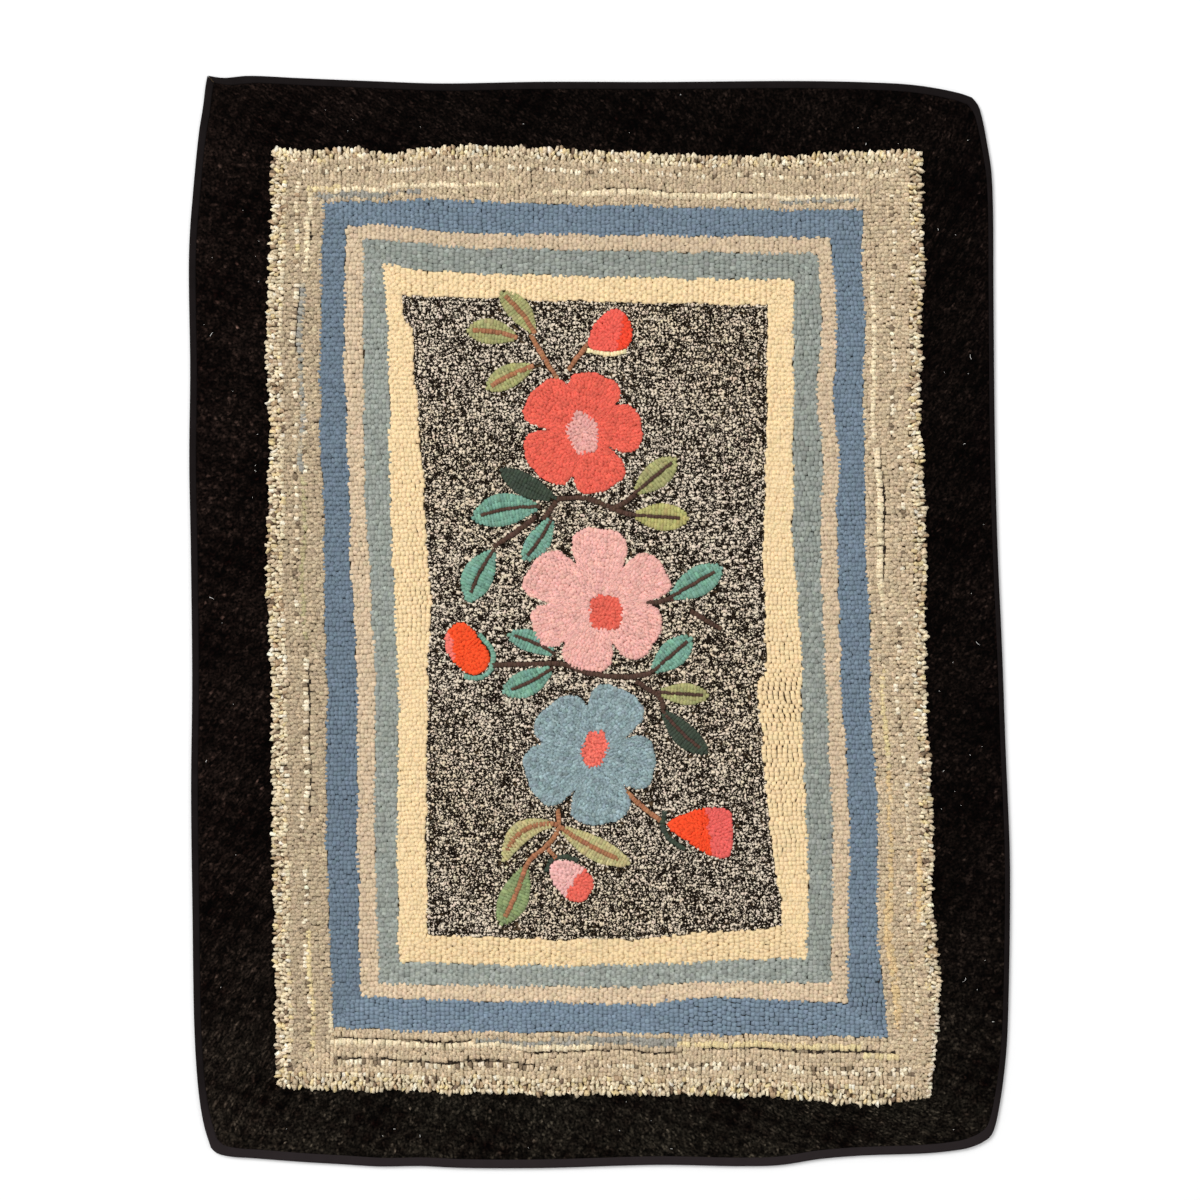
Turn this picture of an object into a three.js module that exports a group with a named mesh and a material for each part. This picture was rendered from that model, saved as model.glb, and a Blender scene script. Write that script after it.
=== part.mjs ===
// Hooked rug, lying flat: a wool loop pile on a woven foundation, its edge bound with a folded tape.
// Millimetres. X is the width, Y the length, Z up. The origin is the bottom centre of its box.

import * as THREE from 'three';

// Rug pile and foundation
const foundationBottom = 1.3;
const foundationTop = 3.3;
const borderPileFoot = 5.2;
const borderPileTop = 6.5;
const wideBandCrest = 9.2;
const innerPileTop = 8.0;

// Binding tape, folded round the edge
const tapeThickness = 1.2;
const tapeTop = 4.9;
const tapeBackThickness = 0.95;
const tapeBackWidth = 26;
const tapeFrontWidth = { top: 8.5, right: 6.0, bottom: 10.0, left: 8.0 };
const tapeChamfer = 0.5;
const pieceGap = 0.45;
const tapeMitreGap = 0.5;

// Points that each side of an outline is divided into
const sideSteps = { top: 28, right: 36, bottom: 28, left: 36 };

// Edge of the rug, side by side and clockwise from above, each side ending where the next begins
const rugEdge = {
  top: [
    { x: -436.5, y: 608.8 }, { x: -419, y: 606.4 }, { x: -392, y: 608.6 }, { x: -333, y: 606.1 },
    { x: -244, y: 602.4 }, { x: -178, y: 600.2 }, { x: -66, y: 602 }, { x: 67, y: 601.8 },
    { x: 223, y: 602.9 }, { x: 303, y: 601.3 }, { x: 347, y: 598.8 }, { x: 380, y: 594 },
    { x: 404, y: 588.5 }, { x: 415, y: 584.5 },
  ],
  right: [
    { x: 415, y: 584.5 }, { x: 421.7, y: 576 }, { x: 427, y: 558 }, { x: 432, y: 531.5 },
    { x: 436.2, y: 505 }, { x: 438.2, y: 469 }, { x: 439, y: 358 }, { x: 440.7, y: 191 },
    { x: 443.6, y: 80 }, { x: 448.5, y: -31 }, { x: 452.5, y: -142 }, { x: 457, y: -253.5 },
    { x: 457.4, y: -309 }, { x: 455.7, y: -420 }, { x: 453.4, y: -476 }, { x: 446.8, y: -531.5 },
    { x: 439.6, y: -565 }, { x: 435, y: -573.5 }, { x: 425.3, y: -580.2 },
  ],
  bottom: [
    { x: 425.3, y: -580.2 }, { x: 412, y: -585.4 }, { x: 392, y: -588.9 }, { x: 363, y: -591.6 },
    { x: 290, y: -594.2 }, { x: 245, y: -598 }, { x: 201, y: -604.7 }, { x: 156, y: -605.9 },
    { x: 67, y: -604.4 }, { x: -66, y: -608 }, { x: -155, y: -607.7 }, { x: -200, y: -605.7 },
    { x: -244, y: -606.2 }, { x: -289, y: -603.6 }, { x: -333, y: -601 }, { x: -385, y: -597 },
    { x: -412, y: -595 }, { x: -427, y: -591 }, { x: -433, y: -585 },
  ],
  left: [
    { x: -433, y: -585 }, { x: -440, y: -562.7 }, { x: -445, y: -536 }, { x: -448, y: -509 },
    { x: -451.3, y: -454 }, { x: -453.5, y: -320 }, { x: -455, y: -187 }, { x: -453.8, y: -67 },
    { x: -455.3, y: 80 }, { x: -457, y: 180 }, { x: -456, y: 280 }, { x: -457.2, y: 414 },
    { x: -452.7, y: 480 }, { x: -446, y: 547 }, { x: -441.7, y: 574 }, { x: -438.4, y: 600.5 },
    { x: -436.5, y: 608.8 },
  ],
};

// Where the dark border meets the wide flecked band
const wideBandOuter = {
  top: [
    { x: -363, y: 526 }, { x: -233, y: 519 }, { x: -155, y: 528 }, { x: 1, y: 523 },
    { x: 178, y: 516 }, { x: 290, y: 522 }, { x: 356, y: 524 },
  ],
  right: [
    { x: 356, y: 524 }, { x: 359, y: 391 }, { x: 355, y: 247 }, { x: 362, y: 91 },
    { x: 362, y: -87 }, { x: 370, y: -220 }, { x: 370, y: -309 }, { x: 378, y: -409 },
    { x: 369, y: -527 },
  ],
  bottom: [
    { x: 369, y: -527 }, { x: 310, y: -536 }, { x: 178, y: -526 }, { x: 1, y: -525 },
    { x: -155, y: -523 }, { x: -244, y: -520 }, { x: -358, y: -517 },
  ],
  left: [
    { x: -358, y: -517 }, { x: -363, y: -220 }, { x: -364, y: -87 }, { x: -369, y: 47 },
    { x: -365, y: 191 }, { x: -370, y: 306 }, { x: -365, y: 425 }, { x: -363, y: 526 },
  ],
};

// Where the wide band meets the first narrow band
const wideBandInner = {
  top: [
    { x: -306, y: 466 }, { x: -177, y: 470 }, { x: -88, y: 466 }, { x: 45, y: 463 },
    { x: 178, y: 459 }, { x: 294, y: 459 },
  ],
  right: [
    { x: 294, y: 459 }, { x: 293, y: 391 }, { x: 296, y: 325 }, { x: 294, y: 247 },
    { x: 296, y: 102 }, { x: 302, y: -31 }, { x: 306, y: -153 }, { x: 310, y: -254 },
    { x: 309, y: -331 }, { x: 321, y: -463 },
  ],
  bottom: [
    { x: 321, y: -463 }, { x: 178, y: -459 }, { x: 1, y: -457 }, { x: -155, y: -456 },
    { x: -296, y: -451 },
  ],
  left: [
    { x: -296, y: -451 }, { x: -304, y: -220 }, { x: -303, y: -87 }, { x: -306, y: 13 },
    { x: -311, y: 202 }, { x: -310, y: 306 }, { x: -309, y: 403 }, { x: -306, y: 466 },
  ],
};

// One closed line of points, anticlockwise from above, starting at the upper left corner.
function closedLine(sides) {
  const line = [];
  for (const [side, steps] of Object.entries(sideSteps)) {
    const stations = sides[side].map((station) => new THREE.Vector3(station.x, station.y, 0));
    const curve = new THREE.CatmullRomCurve3(stations, false, 'centripetal');
    line.push(...curve.getSpacedPoints(steps).slice(0, steps));
  }
  const [corner, ...others] = line;
  return [corner, ...others.reverse()];
}

// The rug's edge, moved so that its box is centred on the origin
const edge = closedLine(rugEdge);
const edgeBox = new THREE.Box3().setFromPoints(edge);
const edgeCentre = edgeBox.getCenter(new THREE.Vector3());
const edgeHalf = edgeBox.getSize(new THREE.Vector3()).multiplyScalar(0.5);
edge.forEach((point) => point.sub(edgeCentre));

const evenInset = (width) => ({ top: width, right: width, bottom: width, left: width });
const tapeInset = (extra) => Object.fromEntries(
  Object.entries(tapeFrontWidth).map(([side, width]) => [side, width + extra]),
);

// The edge drawn in by a width on each side: x and y each shrink in proportion across the rug.
function edgeInset(inset) {
  return edge.map((point) => {
    const across = (point.x / edgeHalf.x + 1) / 2;
    const along = (point.y / edgeHalf.y + 1) / 2;
    return new THREE.Vector3(
      point.x + THREE.MathUtils.lerp(inset.left, -inset.right, across),
      point.y + THREE.MathUtils.lerp(inset.bottom, -inset.top, along),
      0,
    );
  });
}

// A line between two others, a share of the way from the first
function between(first, second, share) {
  return first.map((point, i) => point.clone().lerp(second[i], share));
}

const raised = (line, height) => line.map((point) => new THREE.Vector3(point.x, point.y, height));

function meshGeometry(points, triangles) {
  const geometry = new THREE.BufferGeometry();
  geometry.setAttribute('position', new THREE.Float32BufferAttribute(points.flatMap((p) => p.toArray()), 3));
  geometry.setIndex(triangles.flat());
  geometry.computeVertexNormals();
  return geometry;
}

// Two triangles between neighbouring stations i and j of rings k and k + 1, each ring size points long
function quad(k, i, j, size) {
  const low = k * size;
  const high = low + size;
  return [[low + i, low + j, high + j], [low + i, high + j, high + i]];
}

// Closed solid through rings from the middle of the underside to the middle of the top
function ringSolid(rings) {
  const size = rings[0].length;
  const triangles = [];
  for (let k = 0; k < rings.length - 1; k += 1) {
    for (let i = 0; i < size; i += 1) {
      triangles.push(...quad(k, i, (i + 1) % size, size));
    }
  }
  const top = (rings.length - 1) * size;
  const flat = (ring) => ring.map((p) => new THREE.Vector2(p.x, p.y));
  for (const [a, b, c] of THREE.ShapeUtils.triangulateShape(flat(rings[0]), [])) {
    triangles.push([a, c, b]);
  }
  for (const [a, b, c] of THREE.ShapeUtils.triangulateShape(flat(rings.at(-1)), [])) {
    triangles.push([top + a, top + b, top + c]);
  }
  return meshGeometry(rings.flat(), triangles);
}

// Closed strip whose cross-section follows the edge once round, its two ends meeting in a mitre.
// The lines give each corner of the section its path round the rug.
function openStrip(lines) {
  const size = lines[0].length + 1;
  const half = tapeMitreGap / 2;
  const paths = lines.map((line) => {
    const first = line[0].clone().add(new THREE.Vector3(-half, -half, 0));
    const last = line[0].clone().add(new THREE.Vector3(half, half, 0));
    return [first, ...line.slice(1), last];
  });
  const triangles = [];
  paths.forEach((path, k) => {
    const low = k * size;
    const high = ((k + 1) % paths.length) * size;
    for (let i = 0; i < size - 1; i += 1) {
      triangles.push([low + i, low + i + 1, high + i + 1], [low + i, high + i + 1, high + i]);
    }
  });
  const section = tapeSection.map(({ inset, z }) => new THREE.Vector2(inset.top, z));
  for (const [a, b, c] of THREE.ShapeUtils.triangulateShape(section, [])) {
    triangles.push([a * size, c * size, b * size]);
    triangles.push([(a + 1) * size - 1, (b + 1) * size - 1, (c + 1) * size - 1]);
  }
  return meshGeometry(paths.flat(), triangles);
}

// Rug: the pile on its foundation, thinner at the rim, where the tape folds round it
const rugRim = tapeThickness + pieceGap;
const bandOuter = closedLine(wideBandOuter);
const bandInner = closedLine(wideBandInner);
const pileEdge = edgeInset(tapeInset(pieceGap));
const rugRings = [
  raised(edgeInset(evenInset(tapeBackWidth + pieceGap)), 0),
  raised(edgeInset(evenInset(tapeBackWidth + pieceGap)), foundationBottom),
  raised(edgeInset(evenInset(rugRim)), foundationBottom),
  raised(edgeInset(evenInset(rugRim)), foundationTop),
  raised(pileEdge, foundationTop),
  raised(pileEdge, borderPileFoot),
  raised(edgeInset(tapeInset(pieceGap + 2.5)), borderPileTop - 0.2),
  raised(between(bandOuter, edge, 0.08), borderPileTop),
  raised(bandOuter, (borderPileTop + wideBandCrest) / 2),
  raised(between(bandOuter, bandInner, 0.06), wideBandCrest - 0.2),
  raised(between(bandOuter, bandInner, 0.22), wideBandCrest),
  raised(between(bandOuter, bandInner, 0.5), innerPileTop + 0.4),
  raised(bandInner, innerPileTop),
];

// Tape: a front leg on the rim, a web round the edge and a wider back leg underneath
const tapeSection = [
  { inset: evenInset(0), z: tapeChamfer },
  { inset: evenInset(0), z: tapeTop - tapeChamfer },
  { inset: evenInset(tapeChamfer), z: tapeTop },
  { inset: tapeFrontWidth, z: tapeTop },
  { inset: tapeFrontWidth, z: tapeTop - tapeThickness },
  { inset: evenInset(tapeThickness), z: tapeTop - tapeThickness },
  { inset: evenInset(tapeThickness), z: tapeBackThickness },
  { inset: evenInset(tapeBackWidth), z: tapeBackThickness },
  { inset: evenInset(tapeBackWidth), z: 0 },
  { inset: evenInset(tapeChamfer), z: 0 },
];

const woolPile = new THREE.MeshStandardMaterial({ color: 0x8c8070, roughness: 0.95, metalness: 0 });
const cottonTape = new THREE.MeshStandardMaterial({ color: 0x2a2626, roughness: 0.9, metalness: 0 });

const rug = new THREE.Mesh(ringSolid(rugRings), woolPile);
rug.name = 'rug_pile';

const tape = new THREE.Mesh(openStrip(tapeSection.map(({ inset, z }) => raised(edgeInset(inset), z))), cottonTape);
tape.name = 'binding_tape';

const group = new THREE.Group();
group.name = 'hooked_rug';
group.add(rug, tape);

export default group;
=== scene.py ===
import bpy
import numpy as np
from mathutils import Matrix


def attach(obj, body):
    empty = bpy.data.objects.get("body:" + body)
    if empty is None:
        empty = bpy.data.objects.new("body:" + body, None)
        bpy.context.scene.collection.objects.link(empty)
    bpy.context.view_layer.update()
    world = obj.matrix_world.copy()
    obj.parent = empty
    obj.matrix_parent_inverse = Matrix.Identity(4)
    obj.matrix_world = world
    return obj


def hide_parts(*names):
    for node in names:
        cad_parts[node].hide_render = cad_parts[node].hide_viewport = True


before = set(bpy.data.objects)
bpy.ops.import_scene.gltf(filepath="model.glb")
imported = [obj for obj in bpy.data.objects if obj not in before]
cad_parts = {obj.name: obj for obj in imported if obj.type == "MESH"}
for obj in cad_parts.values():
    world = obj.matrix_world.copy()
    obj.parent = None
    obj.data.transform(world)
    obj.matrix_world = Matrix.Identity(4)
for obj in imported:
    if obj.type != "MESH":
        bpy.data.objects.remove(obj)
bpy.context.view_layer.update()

# View of the rug: the camera hangs straight above it, with the rug's upper edge at the top of
# the frame and a little more floor below than above.
MM = 0.001
pile_height = 8 * MM
camera_height = 3.2
frame_width = 1.3344
camera_data = bpy.data.cameras.new("camera")
camera_data.sensor_width = 36
camera_data.lens = camera_data.sensor_width * camera_height / frame_width
camera = bpy.data.objects.new("camera", camera_data)
camera.location = (0.0006, 0.0245, camera_height + pile_height)
bpy.context.collection.objects.link(camera)
bpy.context.scene.camera = camera


# Floor and studio light: a plain pale floor, a large soft lamp from the upper left, a weaker one
# from the right and an even pale surround.
class Value:
    """A number that changes over a surface. Sums and products add Math nodes."""

    def __init__(self, finish, socket):
        self.finish = finish
        self.socket = socket

    def sum_with(self, operation, *others):
        return self.finish.node(
            "ShaderNodeMath", {"operation": operation}, dict(enumerate((self, *others)))
        )

    def __add__(self, other):
        return self.sum_with("ADD", other)

    def __sub__(self, other):
        return self.sum_with("SUBTRACT", other)

    def __mul__(self, other):
        return self.sum_with("MULTIPLY", other)

    def __rsub__(self, other):
        return self * -1 + other

    __radd__ = __add__
    __rmul__ = __mul__

    def between(self, low, high):
        """0 where the value is low or less and 1 where it is high or more."""
        ends = {0: self, 1: low, 2: high}
        return self.finish.node("ShaderNodeMapRange", {"clamp": True}, ends)


class Finish:
    """One material: its nodes are added by node(), and constants go on the shader itself."""

    def __init__(self, name, constants):
        self.material = bpy.data.materials.new(name)
        self.material.use_nodes = True
        self.tree = self.material.node_tree
        self.shader = self.tree.nodes["Principled BSDF"]
        self.fill(self.shader, constants)

    def fill(self, node, inputs):
        for key, value in inputs.items():
            if isinstance(value, Value):
                self.tree.links.new(value.socket, node.inputs[key])
            else:
                node.inputs[key].default_value = value

    def node(self, kind, settings, inputs, out=0):
        node = self.tree.nodes.new(kind)
        for key, value in settings.items():
            setattr(node, key, value)
        self.fill(node, inputs)
        return Value(self, node.outputs[out])

    def place(self):
        return self.node("ShaderNodeTexCoord", {}, {}, "Object")

    def attribute(self, name, out):
        return self.node("ShaderNodeAttribute", {"attribute_name": name}, {}, out)

    def noise(self, place, scale, detail=2.0):
        inputs = {"Vector": place, "Scale": scale, "Detail": detail}
        return self.node("ShaderNodeTexNoise", {}, inputs, 0)

    def blend(self, share, first, second, kind="MIX"):
        """Mix node on colours: its colour sockets are 6 and 7, and its colour output is 2."""
        settings = {"data_type": "RGBA", "blend_type": kind}
        return self.node("ShaderNodeMix", settings, {0: share, 6: first, 7: second}, 2)

    def bump(self, height, strength, distance):
        inputs = {"Height": height, "Strength": strength, "Distance": distance}
        self.fill(self.shader, {"Normal": self.node("ShaderNodeBump", {}, inputs)})


def linear(red, green, blue):
    """Screen colour, 0 to 255, as the linear colour that the shaders use."""
    share = np.array([red, green, blue]) / 255
    return np.where(share < 0.04045, share / 12.92, ((share + 0.055) / 1.055) ** 2.4)


floor_half = 24.0
floor_mesh = bpy.data.meshes.new("floor")
floor_mesh.from_pydata(
    [(x * floor_half, y * floor_half, -0.2 * MM) for x, y in ((-1, -1), (1, -1), (1, 1), (-1, 1))],
    [],
    [(0, 1, 2, 3)],
)
floor = bpy.data.objects.new("floor", floor_mesh)
bpy.context.collection.objects.link(floor)
floor_finish = Finish("pale_floor", {"Base Color": (0.93, 0.93, 0.93, 1), "Roughness": 0.9})
floor_mesh.materials.append(floor_finish.material)

world = bpy.data.worlds.new("studio")
world.use_nodes = True
world.node_tree.nodes["Background"].inputs["Color"].default_value = (1, 1, 1, 1)
world.node_tree.nodes["Background"].inputs["Strength"].default_value = 0.62
bpy.context.scene.world = world
bpy.context.scene.view_settings.view_transform = "Standard"

for lamp_name, lamp_place, lamp_width, lamp_power in (
    ("upper_left_lamp", (-5.1, 4.5, 6.6), 4.8, 600),
    ("right_lamp", (6.6, -1.8, 7.2), 7.2, 130),
):
    lamp_data = bpy.data.lights.new(lamp_name, "AREA")
    lamp_data.shape = "DISK"
    lamp_data.size = lamp_width
    lamp_data.energy = lamp_power
    lamp = bpy.data.objects.new(lamp_name, lamp_data)
    lamp.location = lamp_place
    lamp.rotation_euler = (-lamp.location).to_track_quat("-Z", "Y").to_euler()
    bpy.context.collection.objects.link(lamp)


# Plain bands: four frames of plain wool inside one another, each of a few rows that run along
# the sides and meet at the corners. The loops are hooked up through the foundation, one beside
# the other, and line up into ribs across each band.
SIDES = ("top", "right", "bottom", "left")
# Sizes are in millimetres up to the meshes, with x to the right and y up the rug.
CLOTH_TOP = 3.0
PILE_TOP = 8.0
LOOP_FOOT = 3.2
rng = np.random.default_rng(7)

# A loop is a small closed arch with both feet in the cloth, as wide as its strip. Its corners lie
# at shares of the strip's half width, of the arch's half span and of its height. Its faces are
# the underside, the strip's two edges and last the arch's back. The strip's edges are flat, so
# that loops side by side join into ribs.
ARCH = [(1.0, 0.0), (0.72, 0.72), (0.0, 1.0), (-0.72, 0.72), (-1.0, 0.0)]
BEAD = np.array([(edge, span, rise) for edge in (-1, 1) for span, rise in ARCH])
BEAD_FACES = np.array([
    (4, 0, 5), (4, 5, 9), (5, 6, 7), (5, 7, 8), (5, 8, 9), (4, 3, 2), (4, 2, 1), (4, 1, 0),
    (0, 1, 6), (0, 6, 5), (3, 4, 9), (3, 9, 8), (1, 2, 7), (1, 7, 6), (2, 3, 8), (2, 8, 7),
])
BEAD_SMOOTH = np.arange(len(BEAD_FACES)) > 7


MAP_RIM = 0.004


def flat_map(mesh, spread):
    """Map of a piece as seen from above, filled by the box of its corners' places in it but for
    a thin rim."""
    low, high = spread.min(0), spread.max(0)
    share = MAP_RIM + (1 - 2 * MAP_RIM) * (spread - low) / (high - low)
    corner = np.empty(len(mesh.loops), np.int32)
    mesh.loops.foreach_get("vertex_index", corner)
    mesh.uv_layers.new(name="OFBake").uv.foreach_set("vector", share[corner].ravel())


def piece_of(name, points, faces, finish, colours=None, spread=None, smooth=None):
    """Piece with its place in its mesh, from points in millimetres and faces of equal size or
    a list of such groups. Its map is as seen from above where spread gives no other places."""
    groups = faces if isinstance(faces, list) else [faces]
    sizes = np.concatenate([np.full(len(g), g.shape[1]) for g in groups])
    corners = np.concatenate([g.ravel() for g in groups])
    mesh = bpy.data.meshes.new(name)
    mesh.vertices.add(len(points))
    mesh.vertices.foreach_set("co", (points * MM).astype(np.float32).ravel())
    mesh.loops.add(len(corners))
    mesh.loops.foreach_set("vertex_index", corners.astype(np.int32))
    mesh.polygons.add(len(sizes))
    starts = np.r_[0, np.cumsum(sizes)[:-1]]
    mesh.polygons.foreach_set("loop_start", starts.astype(np.int32))
    mesh.update(calc_edges=True)
    mesh.validate()
    mesh.shade_smooth()
    if smooth is not None:
        mesh.polygons.foreach_set("use_smooth", smooth)
    if colours is not None:
        layer = mesh.color_attributes.new("yarn", "FLOAT_COLOR", "POINT")
        layer.data.foreach_set("color", np.c_[colours, np.ones(len(colours))].ravel())
    flat_map(mesh, points[:, :2] if spread is None else spread)
    mesh.materials.append(finish.material)
    piece = bpy.data.objects.new(name, mesh)
    bpy.context.collection.objects.link(piece)
    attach(piece, "root")
    return piece


def loops(at, turn, half, crest, lean=None, ragged=0.12):
    """Corners of one bead for each loop: its centre, plus the bead's corners stretched to half
    its width and span, turned by an angle, raised from foot to crest, leaned with height and
    moved by a small normal spread."""
    count = len(at)
    half = np.broadcast_to(half, (count, 2))
    along = BEAD[None, :, 0] * half[:, None, 0]
    across = BEAD[None, :, 1] * half[:, None, 1]
    cos, sin = np.cos(turn)[:, None], np.sin(turn)[:, None]
    rise = np.broadcast_to(BEAD[None, :, 2], (count, len(BEAD)))
    lean = np.zeros((count, 2)) if lean is None else lean
    x = at[:, None, 0] + along * cos - across * sin + lean[:, None, 0] * rise
    y = at[:, None, 1] + along * sin + across * cos + lean[:, None, 1] * rise
    z = LOOP_FOOT + rise * (crest - LOOP_FOOT)[:, None]
    corners = np.stack([x, y, z], 2)
    return (corners + rng.normal(0, ragged, corners.shape)).reshape(-1, 3)


def loop_faces(count):
    """Faces of count beads, one after the other."""
    return (BEAD_FACES[None] + len(BEAD) * np.arange(count)[:, None, None]).reshape(-1, 3)


def loop_colours(yarn, depth):
    """Each corner's colour: the loop's own, with painted shade: darker by a depth times its way
    down to the foot, where the shade between the loops falls.
    """
    shade = 1 - depth * (1 - BEAD[:, 2])
    return (yarn[:, None] * shade[None, :, None]).reshape(-1, 3)


def dyed(colour, count, spread=0.1, warmth=0.03):
    """Colours of count loops of one yarn: a hand-dyed wool's light and hue vary from loop to
    loop by a normal spread."""
    light = np.exp(rng.normal(0, spread, (count, 1)))
    hue = np.exp(rng.normal(0, warmth, (count, 3)))
    return np.clip(linear(*colour) * light * hue, 0, 1)


def drift(at, seed):
    """Slow sideways drift of the hooked rows: the sum of three crossed sine waves, each with its
    own direction, phase and push, drawn at random."""
    steepest, farthest = 0.11, 0.55
    total = np.zeros_like(at)
    for wave in np.random.default_rng(seed).uniform(-1, 1, (3, 5)):
        push = np.sin(at @ (wave[:2] * steepest) + wave[2] * np.pi)
        total += farthest * push[:, None] * wave[3:]
    return total


def wool(name, fleck=0.12, scale=900, gloss=0.15):
    """Matt wool: the loop's own colour with a fine heather, and a bump of twisted plies."""
    finish = Finish(name, {"Roughness": 0.92, "Specular IOR Level": gloss})
    place = finish.place()
    heather = finish.noise(place, scale, 3.0).between(0.3, 0.7) * (2 * fleck) + (1 - fleck)
    shade = finish.node("ShaderNodeCombineColor", {}, {0: heather, 1: heather, 2: heather})
    yarn = finish.blend(1.0, finish.attribute("yarn", "Color"), shade, "MULTIPLY")
    finish.fill(finish.shader, {"Base Color": yarn})
    finish.bump(finish.noise(place, 1100, 2.0), 0.5, 0.5 * MM)
    return finish


MAP_SHRINK = 0.7
pile_pieces = []


def hook(name, at, turn, half, crest, yarn, finish, depth=0.4, **more):
    """One piece of pile: its loops' corners, faces and colours, kept for the back stitches.
    In the map each loop shrinks towards its centre, so that its neighbours don't overlap it."""
    corners = loops(at, turn, half, crest, **more)
    centres = np.repeat(at, len(BEAD), axis=0)
    spread = centres + MAP_SHRINK * (corners[:, :2] - centres)
    faces = loop_faces(len(at))
    smooth = np.tile(BEAD_SMOOTH, len(at))
    # painted shade: depth darkens each loop's colour towards its foot, where shade falls between
    # the loops
    colours = loop_colours(yarn, depth)
    piece = piece_of(name, corners, faces, finish, colours, spread, smooth)
    pile_pieces.append((piece, at, yarn))
    return piece


def lengths(line):
    """Distance of each point of a line from its start, along the line."""
    return np.r_[0, np.cumsum(np.linalg.norm(np.diff(line, axis=0), axis=1))]


def places_along(line, length, at):
    """Points of a line at given distances along it."""
    return np.column_stack([np.interp(at, length, line[:, k]) for k in (0, 1)])


def smooth_line(stations, count):
    """Line through stations, as count + 1 points the same distance apart. Between two stations
    it is the cubic whose end slopes come from the stations beside them, weighed by the square
    roots of the distances."""
    points = np.asarray(stations, float)
    points = np.vstack([2 * points[0] - points[1], points, 2 * points[-1] - points[-2]])
    gaps = np.sqrt(np.linalg.norm(np.diff(points, axis=0), axis=1))[:, None]
    slopes = np.diff(points, axis=0) / gaps
    wide = points[2:] - points[:-2]
    tangent = slopes[:-1] - wide / (gaps[:-1] + gaps[1:]) + slopes[1:]
    t = np.linspace(0, 1, 40, endpoint=False)[None, :, None]
    start, end = points[1:-2, None], points[2:-1, None]
    leave = (tangent[:-1] * gaps[1:-1])[:, None]
    arrive = (tangent[1:] * gaps[1:-1])[:, None]
    fine = (
        (2 * t**3 - 3 * t**2 + 1) * start
        + (t**3 - 2 * t**2 + t) * leave
        + (3 * t**2 - 2 * t**3) * end
        + (t**3 - t**2) * arrive
    )
    fine = np.vstack([fine.reshape(-1, 2), points[-2]])
    length = lengths(fine)
    return places_along(fine, length, np.linspace(0, length[-1], count + 1))


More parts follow.
